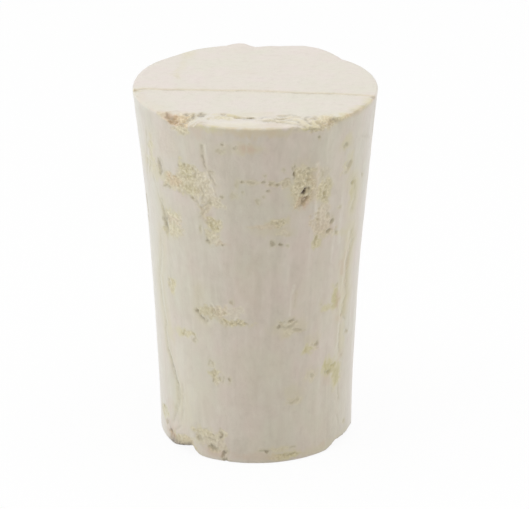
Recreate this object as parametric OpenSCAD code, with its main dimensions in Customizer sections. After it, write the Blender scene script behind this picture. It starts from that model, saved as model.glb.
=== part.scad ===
// Tapered stopper of natural cork bark, in one piece, standing on its narrow end.
// The origin is the centre of the foot face, +Z is up, and the front is towards -Y.
// A bearing is an angle about Z, measured from the front and growing towards +X.

/* [Body] */
// Length from the foot face to the head face
length = 38.1; // [25:0.1:60]
// Diameter of the head, the wide end
head_d = 25; // [20:0.1:40]
// Diameter of the foot, the narrow end
foot_d = 20.1; // [14:0.1:24]
// Bow of the taper: 1 is a straight cone, more keeps the foot end straighter
taper_bow = 1.65; // [1:0.05:2.5]
// Width of the worn edge around the head
head_wear = 0.25; // [0.1:0.05:0.6]
// Width of the worn edge around the foot
foot_wear = 0.3; // [0.1:0.05:0.6]

/* [Breaks in the head's edge] */
// Bearing of the crumbled chip
chip_bearing = -40; // [-60:1:-25]
// Width of the chip along the edge
chip_w = 4.4; // [2:0.1:6]
// Depth of the chip, inwards across the head
chip_in = 2; // [1:0.1:3]
// Depth of the chip, down the side
chip_down = 0.6; // [0.3:0.1:2]
// Bearing of the shallower hollow
hollow_bearing = 32; // [15:1:45]
// Width of the hollow along the edge
hollow_w = 4.6; // [2:0.1:7]
// Depth of the hollow, inwards across the head
hollow_in = 1.7; // [0.5:0.1:3]
// Depth of the hollow, down the side
hollow_down = 0.4; // [0.2:0.1:2]
// Bearing of the long worn stretch
worn_bearing = 61; // [50:1:75]
// Width of the worn stretch along the edge
worn_w = 9; // [4:0.1:12]
// Depth of the worn stretch, inwards and down alike
worn_in = 0.3; // [0.1:0.05:1]

/* [Crack across the head] */
// Distance of the crack behind the front of the head's edge
crack_y = 3.4; // [2.5:0.1:6.5]
// Sideways place of the middle of the crack
crack_x = -0.6; // [-3:0.1:3]
// Length of the crack
crack_len = 11; // [6:0.1:14]
// Width of the crack
crack_w = 0.4; // [0.2:0.05:0.8]
// Depth of the crack
crack_deep = 0.45; // [0.2:0.05:1]

/* [Breaks in the foot] */
// Bearing of the upright wall of the large break
big_break_bearing = -40; // [-60:1:-30]
// Height of the large break at its wall
big_break_rise = 1.1; // [0.5:0.1:2.5]
// Length over which the large break slopes away
big_break_run = 4.2; // [2:0.1:7]
// Depth of the large break, inwards from the side
big_break_in = 3.4; // [1:0.1:5]
// Bearing of the upright wall of the small break
small_break_bearing = 50; // [35:1:60]
// Height of the small break at its wall
small_break_rise = 0.6; // [0.3:0.1:1.5]
// Length over which the small break slopes away
small_break_run = 6.4; // [2:0.1:8]
// Depth of the small break, inwards from the side
small_break_in = 1.8; // [1:0.1:4]

/* [Pores] */
// Depth of the pores, where 1 is that of bleached and washed cork
pore_depth = 1; // [0.5:0.1:1.5]

/* [Hidden] */
$fn = 96;
head_r = head_d / 2;
foot_r = foot_d / 2;
taper_steps = 16;
reach = 2; // how far a cutter runs on past the surface it cuts
lens_fn = 24;

// The larger pores and crumbled patches in the side, each a shallow lens:
// bearing, height as a share of the length, width, tallness, depth, lean
PORES = [
    [-31, 0.825, 5.0, 3.6, 0.40, 0],
    [-46, 0.815, 2.6, 1.4, 0.25, -8],
    [-21.5, 0.715, 2.0, 1.5, 0.30, 0],
    [-47.5, 0.685, 2.6, 1.9, 0.25, 0],
    [23, 0.830, 2.7, 4.4, 0.40, 0],
    [24.5, 0.815, 0.9, 0.7, 1.10, 30],
    [24, 0.789, 1.1, 0.5, 0.90, 40],
    [18.4, 0.872, 0.3, 1.0, 0.35, 0],
    [34.5, 0.800, 1.5, 2.8, 0.25, 0],
    [-34, 0.449, 0.8, 0.7, 0.60, 0],
    [-27, 0.450, 2.4, 1.1, 0.30, 0],
    [-11.5, 0.432, 3.0, 0.4, 0.35, 0],
    [17, 0.424, 2.2, 0.8, 0.35, 0],
    [-23.5, 0.272, 1.5, 2.2, 0.25, 0],
    [54, 0.227, 3.4, 1.6, 0.30, -20],
    [-29, 0.068, 3.6, 2.2, 0.30, 0],
];

// Radius of the side at height z
function side_r(z) = foot_r + (head_r - foot_r) * pow(z / length, taper_bow);

// Half of the stopper's outline, from the axis at the foot round to the axis at the head
function outline() = [
    [0, 0],
    [foot_r - foot_wear, 0],
    for (i = [0 : taper_steps])
        let (z = foot_wear + (length - head_wear - foot_wear) * i / taper_steps) [side_r(z), z],
    [head_r - head_wear, length],
    [0, length],
];

// Puts its children on the side at a bearing and height, with -Y pointing outwards
module on_side(bearing, z) {
    rotate([0, 0, bearing]) translate([0, -side_r(z), z]) children();
}

// The plain tapered plug
module blank() {
    rotate_extrude() polygon(outline());
}

// A lens-shaped hollow of a full width, a depth and a full height
module lens(wide, deep, tall) {
    scale([wide / 2, deep, tall / 2]) sphere(r = 1, $fn = lens_fn);
}

// A crumbled stretch of the head's edge
module head_chip(bearing, wide, inwards, down) {
    on_side(bearing, length) lens(wide, inwards, 2 * down);
}

// The open growth crack across the head
module head_crack() {
    translate([crack_x, crack_y - head_r, length]) lens(crack_len, crack_w / 2, 2 * crack_deep);
}

// A break in the foot: an upright wall at its bearing, and a ledge that slopes down from it.
// A negative run slopes away towards smaller bearings.
module foot_break(bearing, rise, run, inwards) {
    on_side(bearing, 0)
        translate([0, inwards, -reach])
            rotate([90, 0, 0])
                linear_extrude(inwards + reach + abs(run))
                    polygon([[0, 0], [0, reach + rise], [run, reach], [run, 0]]);
}

// All the pores in the side
module pores() {
    for (p = PORES)
        on_side(p[0], p[1] * length) rotate([0, p[5], 0]) lens(p[2], p[4] * pore_depth, p[3]);
}

module stopper() {
    color([0.83, 0.79, 0.73]) difference() {
        blank();
        head_chip(chip_bearing, chip_w, chip_in, chip_down);
        head_chip(hollow_bearing, hollow_w, hollow_in, hollow_down);
        head_chip(worn_bearing, worn_w, worn_in, worn_in);
        head_crack();
        foot_break(big_break_bearing, big_break_rise, -big_break_run, big_break_in);
        foot_break(small_break_bearing, small_break_rise, small_break_run, small_break_in);
        pores();
    }
}

stopper();
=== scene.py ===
import itertools

import bpy
import numpy as np
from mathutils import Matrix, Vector


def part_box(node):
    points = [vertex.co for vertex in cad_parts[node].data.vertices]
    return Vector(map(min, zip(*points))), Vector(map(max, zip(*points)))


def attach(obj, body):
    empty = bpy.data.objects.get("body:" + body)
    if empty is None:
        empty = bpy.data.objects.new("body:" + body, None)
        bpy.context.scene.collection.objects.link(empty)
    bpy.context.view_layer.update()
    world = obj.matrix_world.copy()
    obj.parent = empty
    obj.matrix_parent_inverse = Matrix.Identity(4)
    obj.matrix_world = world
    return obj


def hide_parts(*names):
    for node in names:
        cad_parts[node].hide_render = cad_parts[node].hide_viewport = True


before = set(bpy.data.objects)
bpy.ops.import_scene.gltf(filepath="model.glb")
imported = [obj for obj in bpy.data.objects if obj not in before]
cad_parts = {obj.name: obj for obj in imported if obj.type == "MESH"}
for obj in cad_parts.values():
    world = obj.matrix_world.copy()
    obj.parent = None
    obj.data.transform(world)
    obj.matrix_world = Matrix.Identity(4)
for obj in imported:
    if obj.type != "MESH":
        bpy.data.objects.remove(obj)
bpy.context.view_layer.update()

# ---------------------------------------------------------------- Stopper
# One plug of natural cork bark, punched out, ground to a taper that bows in a little towards
# the foot, and bleached. Its growth layers stand upright and run from left to right, square to
# the Y axis. It is a single piece that stands loose on its foot, with nothing fixed to it.

# The blank is a fine grid of points: rings up the side and a squared-off disc for each end.
mm = 0.001
low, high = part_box("stopper")
length = (high.z - low.z) / mm
head_r = (high.x - low.x) / 2 / mm
foot_r = 0.804 * head_r
taper_bow = 1.65       # power of the side's curve: 1 would be a straight taper
head_wear = 0.22       # radius of the worn edge round the head, in mm
foot_wear = 0.30       # the same round the foot
columns = 560          # points round each ring, a multiple of 8
side_rows = 330        # rings up the side
edge_rows = 5          # rings over each worn edge
crowding = 0.35        # how much closer the columns stand at the front than at the sides
rim_crowding = 0.45    # how much closer the rings of an end stand at its rim than midway


def side_r(height):
    """Radius of the plain tapered side at a height above the foot."""
    share = np.clip(height / length, 0, 1)
    return foot_r + (head_r - foot_r) * share ** taper_bow


def column_bearing(share):
    """Bearing from the front, in radians, at a share of the way round a ring."""
    turn = 2 * np.pi * share
    return turn - crowding * np.sin(turn)


def outline():
    """Radius and height of each ring, from the flat of the foot up to the flat of the head."""
    turn = np.linspace(0, np.pi / 2, edge_rows + 1)
    heights = np.linspace(foot_wear, length - head_wear, side_rows)
    radii = np.concatenate([
        foot_r - foot_wear + foot_wear * np.sin(turn[:-1]),
        side_r(heights),
        side_r(length - head_wear) - head_wear + head_wear * np.cos(turn[1:]),
    ])
    levels = np.concatenate([
        foot_wear - foot_wear * np.cos(turn[:-1]),
        heights,
        length - head_wear + head_wear * np.sin(turn[1:]),
    ])
    return radii, levels


ring_radii, ring_heights = outline()
rings = len(ring_radii)
half_square = columns // 8


def disc():
    """The inner points of an end's squared disc.

    Gives each point's share of the radius, its share of the way round, and the disc's table of
    point numbers, in which a number below columns belongs to the ring round the end.
    """
    across = np.arange(-half_square, half_square + 1)
    i, j = np.meshgrid(across, across)
    ring = np.maximum(abs(i), abs(j))
    walk = np.select(
        [(j == -ring) & (i < ring), (i == ring) & (j < ring), (j == ring) & (i > -ring)],
        [i + ring, 3 * ring + j, 5 * ring - i],
        7 * ring - j,
    )
    around = walk / np.maximum(8 * ring, 1) - 1 / 8
    edge = ring == half_square
    table = np.zeros(i.shape, int)
    table[edge] = np.rint(around[edge] * columns).astype(int) % columns
    table[~edge] = columns + np.arange((~edge).sum())
    share = ring[~edge] / half_square
    return share * (1 + rim_crowding * (1 - share)), around[~edge], table


disc_share, disc_around, disc_table = disc()
disc_count = len(disc_share)

bearing = np.concatenate([
    np.tile(column_bearing(np.arange(columns) / columns), rings),
    np.tile(column_bearing(disc_around), 2),
])
bearing = (bearing + np.pi) % (2 * np.pi) - np.pi
radius = np.concatenate([
    np.repeat(ring_radii, columns),
    disc_share * ring_radii[0],
    disc_share * ring_radii[-1],
])
height = np.concatenate([
    np.repeat(ring_heights, columns),
    np.zeros(disc_count),
    np.full(disc_count, length),
])
side_count = rings * columns
part = np.repeat([0, 1, 2], [side_count, disc_count, disc_count])   # 0 side, 1 foot, 2 head
inset = np.where(part == 1, ring_radii[0] - radius, np.where(part == 2, ring_radii[-1] - radius, 0))


def faces():
    """Corners of every face, each wound so that it faces outwards, and the part it belongs to."""
    ring, column = np.meshgrid(np.arange(rings - 1), np.arange(columns), indexing="ij")
    here = ring * columns + column
    right = ring * columns + (column + 1) % columns
    side = np.stack([here, right, right + columns, here + columns], -1).reshape(-1, 4)
    ends = []
    for first_ring, first_disc in ((0, side_count), ((rings - 1) * columns, side_count + disc_count)):
        table = np.where(disc_table < columns, first_ring + disc_table, first_disc + disc_table - columns)
        squares = [table[:-1, :-1], table[:-1, 1:], table[1:, 1:], table[1:, :-1]]
        ends.append(np.stack(squares, -1).reshape(-1, 4))
    foot, head = ends[0][:, ::-1], ends[1]
    return np.concatenate([side, foot, head]), np.repeat([0, 1, 2], [len(side), len(foot), len(head)])


# The bark's own grain is never quite even. Smooth noise gives its waviness and the ragged
# outlines of its pores, and cell noise gives the grainy look of the crumbled places.

def hashed(cell, salt):
    """A fixed random number from 0 to 1 for each whole-number cell of space.

    The large odd factors only scatter the bits, so that neighbouring cells differ.
    """
    mixed = (cell.astype(np.int64) @ np.array([73856093, 19349663, 83492791])).astype(np.uint32)
    mixed ^= np.uint32(salt * 2654435761 % 2 ** 32)
    for shift, factor in ((16, 2246822519), (13, 3266489917)):
        mixed ^= mixed >> np.uint32(shift)
        mixed *= np.uint32(factor)
    mixed ^= mixed >> np.uint32(16)
    return mixed / (2 ** 32 - 1)


def smooth_noise(points, salt):
    """Smooth noise from -1 to 1 that changes over about one unit."""
    cell = np.floor(points)
    part_way = points - cell
    part_way = part_way ** 3 * (part_way * (part_way * 6 - 15) + 10)
    total = np.zeros(len(points))
    for corner in itertools.product((0, 1), repeat=3):
        share = np.prod(np.where(corner, part_way, 1 - part_way), axis=1)
        total += share * hashed(cell + corner, salt)
    return 2 * total - 1


def rough_noise(points, salt, layers=3):
    """Noise with finer and fainter layers on top, from about -1 to 1."""
    return sum(smooth_noise(points * 2 ** n, salt + n) / 2 ** n for n in range(layers)) / 1.5


far_off = 9.0          # more than any distance that is looked for


def cells(points, salt):
    """Distance to the nearest and second nearest of points strewn about one unit apart."""
    cell = np.floor(points)
    nearest = np.full(len(points), far_off)
    second = nearest.copy()
    for step in itertools.product((-1, 0, 1), repeat=3):
        other = cell + step
        spot = other + np.stack([hashed(other, salt + n) for n in range(3)], -1)
        distance = np.linalg.norm(points - spot, axis=1)
        second = np.minimum(second, np.maximum(nearest, distance))
        nearest = np.minimum(nearest, distance)
    return nearest, second


def ease(value):
    """Smooth step: 0 up to 0, 1 from 1 on."""
    value = np.clip(value, 0, 1)
    return value * value * (3 - 2 * value)


grid = np.stack([radius * np.sin(bearing), -radius * np.cos(bearing), height], -1)
rim_blend = 0.4                     # distance over which side and end fade into each other, in mm
on_side = np.exp(-(inset / rim_blend) ** 2)                 # 1 on the side, fading in from the rim
below_head = np.maximum(length - height, 0)
above_foot = np.maximum(height, 0)
ragged = rough_noise(grid * 0.9, 11)
frayed = rough_noise(grid * 2.6, 21)
grainy = rough_noise(grid * 6.5, 31, 2)
sideways = 0.7 * smooth_noise(grid * 1.3, 71) + 0.7 * smooth_noise(grid * 3.3, 72)
upwards = 0.7 * smooth_noise(grid * 1.3, 73) + 0.7 * smooth_noise(grid * 3.3, 74)

# Each layer holds a value for every point. Besides dust, the dark layer holds painted shade on
# the broken foot, in the crevices between crumbs and beside raised slivers.
inwards = np.zeros(len(grid))       # how far the side is worn in, in mm
sunk = np.zeros(len(grid))          # how far an end is worn in, in mm
crumble = np.zeros(len(grid))       # crumbled, grainy bark
dust_and_shade = np.zeros(len(grid))          # dark dust in pits and cracks
stain = np.zeros(len(grid))         # yellow of the outer cells
rust = np.zeros(len(grid))          # pinkish brown
# The pale layer also holds painted light on the rounded corner at the wedge's wall.
pale = np.zeros(len(grid))          # cleaner, lighter bark

# The taper bows out a little near the foot, and again on the right at two heights.
inwards -= 0.09 * np.exp(-((height - 11) / 9) ** 2)
right_side = np.clip(np.sin(bearing), 0, 1) ** 2
inwards -= right_side * (0.09 * np.exp(-((height - 26) / 6) ** 2) + 0.13 * np.exp(-(height / 5) ** 2))
# The side waves gently, and the upright growth layers leave fine ridges that run up it.
inwards += 0.05 * smooth_noise(grid / [7, 7, 11], 41)
inwards += 0.014 * smooth_noise(grid / [1.8, 0.9, 14], 42) + 0.012 * rough_noise(grid / [0.8, 0.7, 1.4], 43)
sunk += 0.03 * smooth_noise(grid / [6, 4, 6], 44) + 0.006 * rough_noise(grid / [2.5, 0.9, 1], 45)


def turn_from(place):
    """Turn of each point from a bearing in degrees, in radians, positive to its right."""
    return (bearing - np.radians(place) + np.pi) % (2 * np.pi) - np.pi


def beside(place, level, lean=0):
    """How far each point is to the right of a place on the side and above it, in mm.

    The place is a bearing and a height, and a lean in degrees tilts the two directions.
    """
    right = turn_from(place) * side_r(level)
    up = height - level
    c, s = np.cos(np.radians(lean)), np.sin(np.radians(lean))
    return right * c + up * s, up * c - right * s


def oval(right, up, wide, tall, pull):
    """Distance from the middle of an oval that the grain pulls out of shape, 1 at its edge."""
    right = right + pull * sideways
    up = up + pull * upwards
    return np.hypot(right / (wide / 2), up / (tall / 2))


crisp = 0.55           # width of a blot's edge, as a share of its radius


def blot(layer, strength, right, up, wide, tall, soft=crisp, weight=on_side):
    """Raises a layer to a strength in a ragged oval, never lowering what is there."""
    reach = oval(right, up, wide, tall, min(0.5, 0.45 * min(wide, tall)))
    near = reach < 2
    reach = reach[near] + 0.175 * (ragged[near] + frayed[near])
    mask = np.zeros(len(layer))
    mask[near] = ease((1 + soft / 2 - reach) / soft) * weight[near]
    np.maximum(layer, strength * mask, out=layer)


dust_left = 0.45       # share of a pit's depth that its dust leaves open


def hole(right, up, wide, tall, deep, gloom, into, weight):
    """Sinks a small ragged hole, darkens it and yellows the bark round it."""
    reach = oval(right, up, wide, tall, min(0.3, 0.4 * min(wide, tall)))
    near = reach < 3
    reach = reach[near] + 0.35 * frayed[near] + 0.3 * grainy[near]
    into[near] += deep * dust_left * np.clip(1.1 - reach * reach, 0, 1) * weight[near]
    dust_and_shade[near] = np.maximum(dust_and_shade[near], gloom * ease((1.55 - reach) / 1.1) * weight[near])
    stain[near] = np.maximum(stain[near], 0.45 * ease((2.2 - reach) / 1.6) * weight[near])


# Where a pore of the bark meets the ground side, its wall crumbles to a grainy, yellower patch.
# Each row: bearing, height, width, tallness, lean, strength. Lengths are in mm, angles in degrees.
front_patches = [
    (-45.0, 31.0, 2.6, 1.3, 8, 0.9),
    (-41.0, 30.6, 2.4, 1.3, 0, 0.8),
    (-36.0, 31.5, 2.6, 2.6, 0, 1.0),
    (-33.5, 32.5, 2.0, 1.6, 0, 1.0),
    (-33.0, 30.5, 2.2, 1.2, -10, 1.0),
    (-28.0, 31.5, 2.8, 3.0, 0, 0.9),
    (-24.0, 31.1, 1.6, 2.2, 0, 0.6),
    (-22.5, 29.8, 2.4, 1.2, -20, 0.7),
    (-49.0, 30.4, 1.6, 0.8, 0, 0.6),
    (-27.0, 28.6, 1.2, 1.6, -35, 0.6),
    (-22.0, 27.3, 2.0, 1.5, 0, 0.9),
    (-23.0, 26.0, 1.8, 0.9, 0, 0.7),
    (-48.5, 26.8, 2.6, 1.6, 10, 0.7),
    (-49.5, 25.3, 2.8, 1.4, 10, 0.65),
    (-42.0, 25.7, 1.6, 1.2, 0, 0.5),
    (-21.0, 25.2, 2.0, 0.8, 0, 0.5),
    (-37.5, 33.2, 1.2, 1.0, 0, 0.8),
    (-61.5, 33.4, 1.2, 2.6, 0, 0.45),
    (-63.5, 31.6, 2.4, 1.3, 10, 0.4),
    (-50.0, 35.0, 5.0, 3.0, 0, 0.16),
    (22.0, 32.3, 1.6, 2.6, 0, 0.9),
    (24.5, 31.4, 2.4, 3.8, 0, 1.0),
    (22.0, 30.0, 1.4, 2.2, 0, 0.9),
    (26.5, 33.0, 1.0, 0.9, 0, 0.8),
    (35.0, 30.6, 1.7, 2.4, 0, 0.9),
    (36.5, 29.8, 1.0, 1.4, 0, 0.7),
    (34.0, 32.5, 1.4, 1.4, 0, 0.35),
    (35.0, 27.3, 2.2, 3.4, 5, 0.6),
    (38.0, 26.2, 2.0, 1.6, 20, 0.5),
    (32.5, 24.9, 0.9, 1.6, 0, 0.6),
    (40.0, 25.7, 1.4, 0.9, 30, 0.6),
    (46.0, 25.3, 1.4, 1.0, 0, 0.5),
    (50.0, 32.4, 1.6, 1.2, 0, 0.35),
    (14.0, 31.9, 1.2, 0.8, 0, 0.7),
    (9.0, 32.0, 1.8, 0.6, 0, 0.5),
    (-2.0, 32.2, 2.2, 0.6, 0, 0.4),
    (11.3, 27.5, 1.5, 0.8, 0, 0.8),
    (3.0, 27.2, 3.2, 0.5, 0, 0.35),
    (13.5, 26.5, 1.4, 0.8, 0, 0.4),
    (-28.5, 17.0, 2.2, 1.2, -5, 0.65),
    (-25.5, 17.2, 0.9, 1.2, -20, 0.9),
    (-20.0, 17.3, 1.8, 1.3, 0, 0.7),
    (-11.5, 16.3, 3.2, 0.6, 0, 1.0),
    (-13.0, 17.5, 3.0, 1.4, 0, 0.4),
    (-17.5, 16.0, 1.0, 0.6, 0, 0.6),
    (-43.0, 13.9, 1.9, 0.6, 8, 0.7),
    (-53.0, 18.7, 1.6, 1.4, 20, 0.6),
    (-23.5, 10.3, 1.0, 0.8, 0, 0.9),
    (-24.0, 9.4, 0.9, 0.9, 0, 0.7),
    (-26.0, 11.2, 0.9, 0.7, 0, 0.4),
    (17.5, 16.0, 2.2, 0.8, 0, 0.5),
    (21.0, 15.1, 2.4, 0.8, -10, 0.4),
    (30.5, 12.6, 1.0, 0.7, 0, 0.45),
    (34.5, 13.1, 1.0, 1.0, 0, 0.4),
    (49.0, 17.6, 0.9, 2.0, 0, 0.15),
    (44.5, 16.7, 1.4, 0.9, 0, 0.3),
    (46.5, 9.7, 1.6, 1.2, -20, 0.25),
    (50.0, 9.2, 1.8, 1.2, -25, 0.25),
    (54.5, 8.4, 1.8, 1.6, -25, 0.2),
    (59.5, 7.9, 1.4, 0.9, -20, 0.2),
    (34.0, 9.4, 1.4, 1.2, 0, 0.3),
    (22.0, 7.1, 1.6, 0.9, 0, 0.4),
    (-38.0, 3.0, 1.0, 0.5, 0, 0.8),
    (-31.0, 3.1, 2.4, 0.6, 0, 0.8),
    (-29.0, 2.2, 3.4, 1.8, 0, 0.6),
    (-26.0, 2.9, 1.0, 0.5, 0, 0.8),
    (-35.5, 2.3, 1.2, 1.0, 0, 0.6),
    (-23.0, 2.0, 1.6, 1.6, 0, 0.6),
    (-20.0, 3.3, 0.9, 1.2, 20, 0.7),
    (-26.0, 1.3, 1.8, 0.7, 0, 0.6),
    (-71.0, 3.0, 1.9, 1.6, 15, 0.6),
    (19.5, 0.85, 2.4, 0.35, 0, 0.9),
    (15.0, 0.6, 2.4, 0.3, 0, 0.5),
    (14.0, 1.6, 2.0, 0.4, 0, 0.4),
    (-49.0, 1.4, 3.6, 0.7, 12, 0.7),
]
# Round the back they lie in loose clusters, each with a few pits among them. The two lists
# there have the same columns as the front's.
rng = np.random.default_rng(20)
back_patches = []
back_pits = []
for _ in range(15):
    place, level = rng.uniform(98, 262), rng.uniform(2.5, 35)
    for _ in range(rng.integers(2, 6)):
        back_patches.append((
            place + rng.normal(0, 6),
            level + rng.normal(0, 0.8),
            rng.uniform(1.0, 2.8),
            rng.uniform(0.7, 2.0),
            rng.uniform(-25, 25),
            rng.uniform(0.4, 1.0),
        ))
    for _ in range(rng.integers(2, 6)):
        back_pits.append((
            place + rng.normal(0, 7),
            level + rng.normal(0, 1.1),
            rng.uniform(0.3, 0.9),
            rng.uniform(0.25, 0.6),
            rng.uniform(-40, 40),
            rng.uniform(0.2, 0.5),
            rng.uniform(0.12, 0.45),
        ))
for place, level, wide, tall, lean, strength in front_patches + back_patches:
    blot(crumble, strength, *beside(place, level, lean), wide, tall)

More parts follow.
